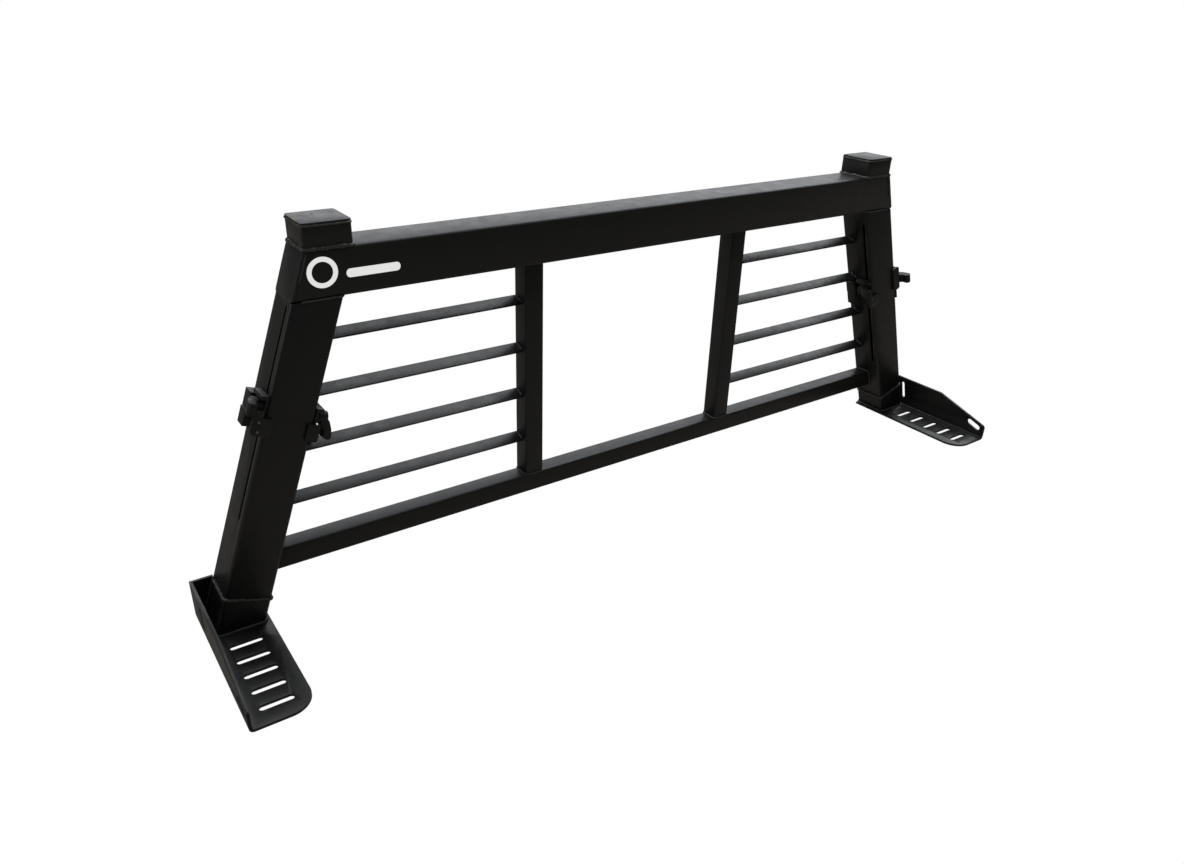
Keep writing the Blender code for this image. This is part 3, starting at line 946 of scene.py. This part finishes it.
class Welder:
    """Lays beads and domes, and rides each on its body."""

    def __init__(self, coat: Material, seam: Material, plating: Material) -> None:
        """Starts with the finishes that it uses.

        Args:
            coat: The coat on the welds, lighter than the frame's as a painted highlight on the beads.
            seam: The coat on the tubes' own seams, darker as painted shade along them.
            plating: The finish of the rivets.
        """
        self.coat = coat
        self.seam = seam
        self.plating = plating
        self.beads = WeldBeadTree()
        self.domes = DomeTree()
        self.seed = 0

    def lay(
        self, name: str, runs: Sequence[Run], bead: Bead, finish: Material | None = None
    ) -> Piece:
        """Lays one piece of beads on the frame.

        Args:
            name: The piece's name.
            runs: The lines.
            bead: The kind of bead.
            finish: Its finish, where it isn't the welds' own.

        Returns:
            The piece.
        """
        self.seed += 1
        values = {
            "Bead Radius": bead.radius,
            "Ripple Pitch": bead.pitch,
            "Ripple Depth": bead.depth,
            "Wander": bead.wander,
            "Lumps": bead.lumps,
            "Seed": float(self.seed),
            "End Taper": bead.taper,
            "Finish": finish or self.coat,
        }
        piece = self.beads.grow(name, line_mesh(name, runs), values)
        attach(piece, "frame")
        LOG.info("%s: %d runs, %d faces", name, len(runs), len(piece.data.polygons))
        return piece

    def dot(
        self, name: str, points: Sequence[Vector], axis: Vector, dome: Dome, body: str, slot: Slot
    ) -> Piece:
        """Puts low domes on a surface.

        Args:
            name: The piece's name.
            points: Their middles.
            axis: The way out of the surface.
            dome: The kind of dome.
            body: The body that they ride on.
            slot: The material slot that they take.

        Returns:
            The piece.
        """
        self.seed += 1
        values = {
            "Head Radius": dome.radius,
            "Head Height": dome.height,
            "Lumps": dome.lumps,
            "Seed": float(self.seed),
            "Finish": self.plating if slot is Slot.ZINC else self.coat,
        }
        piece = self.domes.grow(name, point_mesh(name, points, axis), values)
        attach(piece, body)
        LOG.info("%s: %d domes", name, len(points))
        return piece


# Sub-assemblies


@dataclass
class Leg:
    """One leg with its stub: its welds to the beam, the stub and the foot, and the tube's own seam."""

    side: Side
    lines: RackLines
    cleat_room: float = 0.014
    stub_stand: float = 0.0001
    foot_stand: float = 0.0010
    foot_rise: float = 0.0006
    flange_stand: float = 0.0003
    flange_start: float = 0.003
    flange_end: float = 0.001
    seam_from_back: float = 0.039
    seam_sink: float = 0.0007
    seam_start: float = 0.004
    seam_end: float = 0.001
    seam_gap: float = 0.002
    beam_bead: Bead = Bead(0.0019, lumps=0.3)
    stub_bead: Bead = Bead(0.0032, lumps=0.8, wander=0.0008)
    flange_bead: Bead = Bead(0.0022, lumps=0.7, wander=0.0004)
    foot_bead: Bead = Bead(0.0030, lumps=0.45, wander=0.0005)
    seam_bead: Bead = Bead(0.0009, pitch=0.006, depth=0.0, wander=0.0, lumps=0.05, taper=0.0)

    def build(self, welder: Welder) -> None:
        """Lays the leg's welds.

        Args:
            welder: The welder that lays them.
        """
        lines = self.lines
        word = self.side.word
        top = lines.leg_collar(self.side, lines.beam_underside, self.cleat_room)
        joint = lines.leg_loop(self.side, self.stub_stand, square_at=lines.stub_length)
        base = lines.leg_loop(self.side, self.foot_stand, level_at=lines.plate + self.foot_rise)
        welder.lay(f"weld_leg_beam_{word}", [top], self.beam_bead)
        welder.lay(f"weld_leg_stub_{word}", [joint], self.stub_bead)
        welder.lay(f"weld_stub_foot_{word}", [base], self.foot_bead)
        welder.lay(f"weld_back_flange_{word}", [self.flange_run()], self.flange_bead)
        welder.lay(f"tube_seam_{word}", self.seam_runs(), self.seam_bead, welder.seam)

    def flange_run(self) -> Run:
        """The corner between the foot's back flange and the stub, up to the flange's top.

        Returns:
            The line.
        """
        lines = self.lines
        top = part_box(f"foot_bracket_{self.side.word}")[1].z
        heights = (lines.plate + self.flange_start, top - self.flange_end)
        front = lines.back_y - lines.plate
        reaches = [self.side.value * (lines.face_x(Face.OUTER, z) + self.flange_stand) for z in heights]
        return Run([Vector((x, front, z)) for x, z in zip(reaches, heights)])

    def seam_runs(self) -> list[Run]:
        """The tube's seam on the inner face, along the stub and along the leg.

        Returns:
            The lines.
        """
        lines = self.lines
        inner = self.seam_sink - lines.tube / 2
        back = lines.tube / 2 - self.seam_from_back
        low = lines.way_up(inner, lines.plate + self.seam_start)
        high = lines.way_up(inner, lines.beam_underside - self.seam_end)
        joint = lines.stub_length
        parts = ((low, joint - self.seam_gap), (joint + self.seam_gap, high))
        return [Run([lines.leg_point(self.side, inner, back, up) for up in part]) for part in parts]


@dataclass
class CapBlock:
    """One cap block: its bead on the beam, its plate's seam, its plug welds and the beam's end seam."""

    side: Side
    lines: RackLines
    cleat_room: float = 0.0285
    block_sink: float = 0.0004
    block_stand: float = -0.0002
    plate_stand: float = -0.0003
    plug_sink: float = 0.0002
    plug_places: Section = field(
        default_factory=lambda: [(-0.0220, 0.0138), (-0.0023, 0.0159), (0.0279, 0.0185)]
    )
    end_below_top: float = 0.006
    plug: Dome = Dome(0.0036, 0.0009, 0.0012)
    block_bead: Bead = Bead(0.0035, 0.0034, 0.28, 0.0011, 0.8)
    plate_bead: Bead = Bead(0.0017, lumps=0.9, wander=0.0006)
    end_bead: Bead = Bead(0.0013, lumps=0.4)

    def build(self, welder: Welder) -> None:
        """Lays the block's welds.

        Args:
            welder: The welder that lays them.
        """
        word = self.side.word
        low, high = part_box(f"cap_plate_{word}")
        middle = box_middle(f"cap_plate_{word}")
        block = self.loop(middle, self.lines.beam_top - self.block_sink, self.block_stand)
        plate = self.loop(middle, low.z, self.plate_stand)
        top = high.z - self.plug_sink
        inward = -self.side.value
        spots = [Vector((middle.x + inward * dx, middle.y + dy, top)) for dx, dy in self.plug_places]
        up = Vector((0.0, 0.0, 1.0))
        welder.lay(f"weld_cap_block_{word}", [block], self.block_bead)
        welder.lay(f"weld_cap_plate_{word}", [plate], self.plate_bead)
        welder.dot(f"plug_welds_{word}", spots, up, self.plug, "frame", Slot.FRAME)
        welder.lay(f"weld_beam_end_{word}", self.end_runs(), self.end_bead)

    def loop(self, middle: Vector, z: float, stand: float) -> Run:
        """A level line round the block.

        Args:
            middle: The block's middle.
            z: The line's height.
            stand: How far the line stands off the block's faces.

        Returns:
            The line.
        """
        size = self.lines.tube + 2 * stand
        ring = rounded_rectangle(size, size, self.lines.tube_corner + stand)
        return Run([Vector((middle.x + x, middle.y + y, z)) for x, y in ring], True)

    def end_runs(self) -> list[Run]:
        """The seams of the beam's end plate, on the front and the back.

        Returns:
            The lines.
        """
        lines = self.lines
        inset = lines.plate / math.cos(lines.leg_tilt)
        heights = (lines.beam_underside + self.cleat_room, lines.beam_top - self.end_below_top)
        ends = [(self.side.value * (lines.face_x(Face.OUTER, z) - inset), z) for z in heights]
        return [Run([Vector((x, y, z)) for x, z in ends]) for y in (lines.front_y, lines.back_y)]


@dataclass
class LouvreBay:
    """The slats, rail end and post of one side: the welds that hold them."""

    side: Side
    lines: RackLines
    slat_width: float = 0.0254
    slat_thick: float = 0.0032
    slat_tilt: float = math.radians(24)
    slat_count: int = 4
    slat_share: float = 0.42
    leg_gap: float = 0.0006
    near_gap: float = 0.0003
    rail_stand: float = 0.0004
    rail_gap: float = 0.0008
    post_gap: float = 0.0001
    slat_bead: Bead = Bead(0.0026, 0.0026, 0.25, 0.0008, 0.7)
    tube_bead: Bead = Bead(0.0020, lumps=0.4)

    def build(self, welder: Welder) -> None:
        """Lays the bay's welds.

        Args:
            welder: The welder that lays them.
        """
        word = self.side.word
        runs = [run for number in range(1, self.slat_count + 1) for run in self.slat_runs(number)]
        welder.lay(f"weld_slats_{word}", runs, self.slat_bead)
        welder.lay(f"weld_rail_end_{word}", [self.rail_run()], self.tube_bead)
        welder.lay(f"weld_post_{word}", self.post_runs(), self.tube_bead)

    def slat_runs(self, number: int) -> list[Run]:
        """The lines along both faces of a slat, at both of its ends.

        Args:
            number: The slat's number.

        Returns:
            The lines.
        """
        low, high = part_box(f"slat_{self.side.word}_{number}")
        middle = (low + high) / 2
        along = Vector((0.0, math.cos(self.slat_tilt), math.sin(self.slat_tilt)))
        out = Vector((0.0, -math.sin(self.slat_tilt), math.cos(self.slat_tilt)))
        near = min(abs(low.x), abs(high.x)) + self.near_gap
        runs = []
        for face in (1, -1):
            for at_leg in (False, True):
                points = []
                for share in (-self.slat_share, self.slat_share):
                    rise = out * (face * self.slat_thick / 2)
                    point = middle + along * (share * self.slat_width) + rise
                    reach = self.lines.face_x(Face.INNER, point.z) - self.leg_gap if at_leg else near
                    point.x = self.side.value * reach
                    points.append(point)
                runs.append(Run(points))
        return runs

    def rail_run(self) -> Run:
        """The line round the rail where it meets the leg.

        Returns:
            The line.
        """
        middle = box_middle("bottom_rail")
        size = self.lines.small_tube + 2 * self.rail_stand
        points = []
        for y, z in rounded_rectangle(size, size, self.lines.small_corner):
            height = middle.z + z
            reach = self.lines.face_x(Face.INNER, height) - self.rail_gap
            points.append(Vector((self.side.value * reach, middle.y + y, height)))
        return Run(points, True)

    def post_runs(self) -> list[Run]:
        """The lines round the post, at the rail and at the beam.

        Returns:
            The lines.
        """
        name = f"post_{self.side.word}"
        low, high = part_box(name)
        middle = box_middle(name)
        ring = rounded_rectangle(self.lines.small_tube, self.lines.small_tube, self.lines.small_corner)
        heights = (low.z - self.post_gap, high.z + self.post_gap)
        return [Run([Vector((middle.x + x, middle.y + y, z)) for x, y in ring], True) for z in heights]


@dataclass
class Cleat:
    """One sliding cleat: the rivets on its front tab."""

    side: Side
    face: Face
    lines: RackLines
    rivet: Dome = Dome(0.0023, 0.0014)
    rivet_out: float = 0.0095
    rivet_ups: tuple[float, float] = (-0.0385, -0.0230)
    rivet_stand: float = 0.0001
    washer_out: float = 0.0051

    def build(self, welder: Welder) -> None:
        """Sets the rivets.

        Args:
            welder: The welder that sets them.
        """
        label = f"{self.side.word}_{self.face.word}"
        out = self.lines.leg_out(self.side) * self.face.value * (self.rivet_out - self.washer_out)
        up = self.lines.leg_up(self.side)
        points = [box_middle(f"cleat_washer_{label}") + out + up * rise for rise in self.rivet_ups]
        for point in points:
            point.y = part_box(f"cleat_bracket_{label}")[0].y + self.rivet_stand
        forward = Vector((0.0, -1.0, 0.0))
        welder.dot(f"cleat_rivets_{label}", points, forward, self.rivet, f"cleat_{label}", Slot.ZINC)


@dataclass
class BeamMark:
    """The plain white mark on the beam's left end: a ring and a bar, painted on."""

    lines: RackLines
    paint: Material
    ring_x: float = -0.6265
    ring_z: float = 0.5760
    ring_radius: float = 0.0235
    ring_width: float = 0.0075
    ring_steps: int = 72
    bar_x: float = -0.5475
    bar_z: float = 0.5695
    bar_length: float = 0.0860
    bar_height: float = 0.0135
    bar_rounding: float = 0.45
    thick: float = 0.00018
    stand: float = 0.00004

    def build(self) -> None:
        """Makes the ring and the bar."""
        inner = self.ring_radius - self.ring_width
        ring = [self.circle(radius) for radius in (self.ring_radius, inner)]
        bar = [rounded_rectangle(self.bar_length, self.bar_height, self.bar_height * self.bar_rounding)]
        ring_place = self.placer(self.ring_x, self.ring_z)
        bar_place = self.placer(self.bar_x, self.bar_z)
        for name, outlines, place in (("mark_ring", ring, ring_place), ("mark_bar", bar, bar_place)):
            piece = piece_of(name, plate_mesh(name, outlines, place, self.thick), self.paint)
            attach(piece, "frame")
            LOG.info("%s: painted on the beam", name)

    def circle(self, radius: float) -> Section:
        """A circle's points, each once."""
        return arc((0.0, 0.0), radius, 0, 360 * (1 - 1 / self.ring_steps), self.ring_steps - 1)

    def placer(self, x0: float, z0: float) -> Placer:
        """Gives the world point for a step along X, one along Z and a height off the beam's front."""
        front = self.lines.front_y - self.stand
        return lambda x, z, rise: Vector((x0 + x, front - rise, z0 + z))


class Dresser:
    """Gives every solid of the frame its finish and eased edges."""

    SHARP_LIMIT = math.radians(32)
    MERGE = 0.00001
    DISSOLVE = math.radians(0.3)
    SLOTS = {
        "foot_bracket": Slot.FOOT,
        "cleat_bracket": Slot.CLEAT,
        "cleat_knob": Slot.NYLON,
        "cleat_": Slot.ZINC,
    }
    PLATE_EDGE = 0.5 * MILLIMETRE
    EDGES = {
        "cleat_knob": 0.9 * MILLIMETRE,
        "cleat_bolt": 0.25 * MILLIMETRE,
        "cleat_washer": 0.25 * MILLIMETRE,
    }

    def __init__(self, nodes: dict[str, Piece], finishes: dict[Slot, Material]) -> None:
        """Starts on the frame's nodes.

        Args:
            nodes: The frame's objects by name.
            finishes: The material for each slot.
        """
        self.nodes = nodes
        self.finishes = finishes
        self.smooth = SmoothFlatsTree(self.SHARP_LIMIT)

    def pick(self, table: dict[str, object], name: str, other: object) -> object:
        """The entry of the first start that a node's name has, or the other one."""
        return next((entry for start, entry in table.items() if name.startswith(start)), other)

    def dress(self) -> None:
        """Dresses every node."""
        for name, node in self.nodes.items():
            material = self.finishes[self.pick(self.SLOTS, name, Slot.FRAME)]
            for slot in node.material_slots:
                slot.link = "OBJECT"
                slot.material = material
            self.ease(node, self.pick(self.EDGES, name, self.PLATE_EDGE))
            LOG.info("%s: dressed in %s", name, material.name)

    def ease(self, node: Piece, width: float) -> None:
        """Adds the modifiers that round a node's edges.

        Args:
            node: The node.
            width: How far the edges are eased.
        """
        adjust(node.modifiers.new("merge", "WELD"), merge_threshold=self.MERGE)
        flats = node.modifiers.new("flats", "DECIMATE")
        adjust(flats, decimate_type="DISSOLVE", angle_limit=self.DISSOLVE)
        edges = node.modifiers.new("edges", "BEVEL")
        adjust(edges, width=width, segments=2, limit_method="ANGLE", angle_limit=self.SHARP_LIMIT)
        edges.use_clamp_overlap = True
        node.modifiers.new("shade", "NODES").node_group = self.smooth.tree


# The studio


@dataclass(frozen=True)
class Softbox:
    """One soft light: where it hangs, the point it faces, its width and height, and its watts."""

    name: str
    place: Point
    aim: Point
    size: tuple[float, float]
    power: float
    tint: Colour = (0.94, 0.965, 1.0)

    def hang(self) -> None:
        """Puts the light in the scene, unseen by the camera."""
        data = bpy.data.lights.new(self.name, "AREA")
        data.shape = "RECTANGLE"
        adjust(data, size=self.size[0], size_y=self.size[1], energy=self.power, color=self.tint)
        light = put(self.name, data)
        turn = (Vector(self.aim) - Vector(self.place)).to_track_quat("-Z", "Y").to_matrix().to_4x4()
        light.matrix_world = Matrix.Translation(self.place) @ turn
        light.visible_camera = False


SOFTBOXES = (
    Softbox("overhead", (2.1, 0.75, 2.5), (2.1, 0.75, 0.0), (5.8, 1.2), 88.0),
    Softbox("behind", (3.5, 4.2, 1.75), (3.0, 0.2, 0.6), (9.0, 1.2), 72.0),
    Softbox("high_behind", (2.0, 3.1, 3.0), (0.6, 0.2, 0.1), (7.0, 2.0), 40.0),
    Softbox("left", (-3.4, 0.8, 1.6), (-0.5, 0.1, 0.3), (2.0, 2.0), 13.0),
    Softbox("front_top", (0.0, -0.9, 2.6), (0.0, 0.1, 0.3), (3.6, 0.25), 9.0),
)


@dataclass
class Studio:
    """Pale floor, soft lights and the camera."""

    camera_place: Point = (-1.0327, -1.1809, 0.9590)
    yaw: float = 0.6212260520
    pitch: float = -0.4636618760
    roll: float = 0.0320127118
    focal_lengths_wide: float = 0.748502
    sensor: float = 36.0
    near_clip: float = 0.01
    floor_size: float = 60.0
    floor_drop: float = 0.0005
    backdrop: Colour = (1.0, 1.0, 1.0)
    bounce_tint: Colour = (1.0, 0.955, 0.87)
    seen: float = 1.0
    ambient: float = 0.05
    floor_bounce: float = 0.19

    def build(self) -> None:
        """Makes the whole studio."""
        self.add_camera()
        self.add_floor()
        self.add_world()
        for softbox in SOFTBOXES:
            softbox.hang()
        view = bpy.context.scene.view_settings
        view.view_transform = "Standard"
        view.look = "None"

    def add_camera(self) -> None:
        """Stands the camera and makes it the scene's."""
        level = math.cos(self.pitch)
        ahead = Vector((level * math.sin(self.yaw), level * math.cos(self.yaw), math.sin(self.pitch)))
        right = Vector((math.cos(self.yaw), -math.sin(self.yaw), 0.0))
        up = right.cross(ahead)
        tilted_right = math.cos(self.roll) * right + math.sin(self.roll) * up
        tilted_up = -math.sin(self.roll) * right + math.cos(self.roll) * up
        data = bpy.data.cameras.new("studio_camera")
        lens = self.sensor * self.focal_lengths_wide
        adjust(data, sensor_width=self.sensor, lens=lens, clip_start=self.near_clip)
        camera = put("studio_camera", data)
        rotation = Matrix((tilted_right, tilted_up, -ahead)).transposed().to_4x4()
        camera.matrix_world = Matrix.Translation(self.camera_place) @ rotation
        bpy.context.scene.camera = camera

    def two_tone(self, bench: NodeBench, straight: Socket, bounced: float) -> Socket:
        """A strength that is full to look at and another as light on the rack."""
        return bench.remap(straight, UNIT, (bounced, self.seen))

    def add_floor(self) -> None:
        """Lays the plain pale floor."""
        bench = FinishBench("pale_floor", self.backdrop)
        nodes = bench.tree.nodes
        nodes.remove(nodes["Principled BSDF"])
        straight = bench.add("ShaderNodeLightPath").outputs["Is Camera Ray"]
        shine = {
            "Color": bench.blend(straight, opaque(self.bounce_tint), opaque(self.backdrop)),
            "Strength": self.two_tone(bench, straight, self.floor_bounce),
        }
        glow = bench.add("ShaderNodeEmission", shine).outputs[0]
        bench.feed(nodes["Material Output"].inputs["Surface"], glow)
        half = self.floor_size / 2
        corners = [(-half, -half, 0.0), (half, -half, 0.0), (half, half, 0.0), (-half, half, 0.0)]
        mesh = bpy.data.meshes.new("floor")
        mesh.from_pydata(corners, [], [(0, 1, 2, 3)])
        floor = piece_of("floor", mesh, bench.material)
        floor.location.z = -self.floor_drop
        floor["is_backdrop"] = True

    def add_world(self) -> None:
        """Makes the pale surround."""
        world = bpy.data.worlds.new("studio_world")
        world.use_nodes = True
        bench = NodeBench(world.node_tree)
        background = world.node_tree.nodes["Background"].inputs
        straight = bench.add("ShaderNodeLightPath").outputs["Is Camera Ray"]
        bench.feed(background["Color"], opaque(self.backdrop))
        bench.feed(background["Strength"], self.two_tone(bench, straight, self.ambient))
        bpy.context.scene.world = world


# Each coat's third colour lights its edges: a painted edge highlight, partly the coat pulled thin.
FRAME_COAT = Coat(
    "frame_coat", Slot.FRAME, (0.0125, 0.0125, 0.0122), (0.019, 0.019, 0.0185), (0.045, 0.045, 0.044),
    roughness=0.42,
)
FOOT_COAT = Coat(
    "foot_coat", Slot.FOOT, (0.012, 0.012, 0.0118), (0.019, 0.019, 0.0185), (0.05, 0.05, 0.048), 0.40,
    specular=0.42,
)
CLEAT_COAT = Coat(
    "cleat_coat", Slot.CLEAT, (0.013, 0.013, 0.0125), (0.026, 0.026, 0.025), (0.09, 0.09, 0.088), 0.46,
    pattern=Pattern.COARSE, peel=Noise(800.0, 1.5, 0.45), edge_share=0.7,
)
KNOB_NYLON = Coat(
    "knob_nylon", Slot.NYLON, (0.011, 0.011, 0.0115), (0.018, 0.018, 0.018), (0.035, 0.035, 0.036),
    roughness=0.52,
    pattern=Pattern.MOULDED, peel=Noise(1400.0, 1.5, 0.45), peel_depth=0.00005, edge_share=0.3,
)
# The welds are black like the frame; their lighter colour is a painted highlight on the beads.
WELD_COAT_WITH_HIGHLIGHT = Coat(
    "weld_coat_painted_highlight", Slot.FRAME, (0.060, 0.060, 0.057), (0.090, 0.090, 0.086), (0.13, 0.13, 0.125), 0.34
)
# The seam's near-black colour is painted shade along the tube's seam.
SEAM_COAT_PAINTED_SHADE = Coat(
    "seam_coat", Slot.FRAME, (0.003, 0.003, 0.003), (0.005, 0.005, 0.005), (0.006, 0.006, 0.006), 0.6,
    specular=0.2,
)


def main() -> tuple[Vector, Vector]:
    """Builds the rack and its studio.

    Returns:
        The frame's box before anything was added.
    """
    logging.basicConfig(level=logging.INFO, format="%(name)s: %(message)s")
    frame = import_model()
    cad_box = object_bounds()
    coats = (FRAME_COAT, FOOT_COAT, CLEAT_COAT, KNOB_NYLON)
    finishes = {coat.slot: coat.build() for coat in coats}
    finishes[Slot.ZINC] = PlatedSteel().build()
    welder = Welder(WELD_COAT_WITH_HIGHLIGHT.build(), SEAM_COAT_PAINTED_SHADE.build(), finishes[Slot.ZINC])
    lines = RackLines()
    Dresser(frame["nodes"], finishes).dress()
    for side in Side:
        Leg(side, lines).build(welder)
        CapBlock(side, lines).build(welder)
        LouvreBay(side, lines).build(welder)
    Cleat(Side.LEFT, Face.OUTER, lines).build(welder)
    Cleat(Side.RIGHT, Face.INNER, lines).build(welder)
    BeamMark(lines, MarkPaint().build()).build()
    Studio().build()
    return cad_box


if __name__ == "__main__":
    CAD_BOX = main()
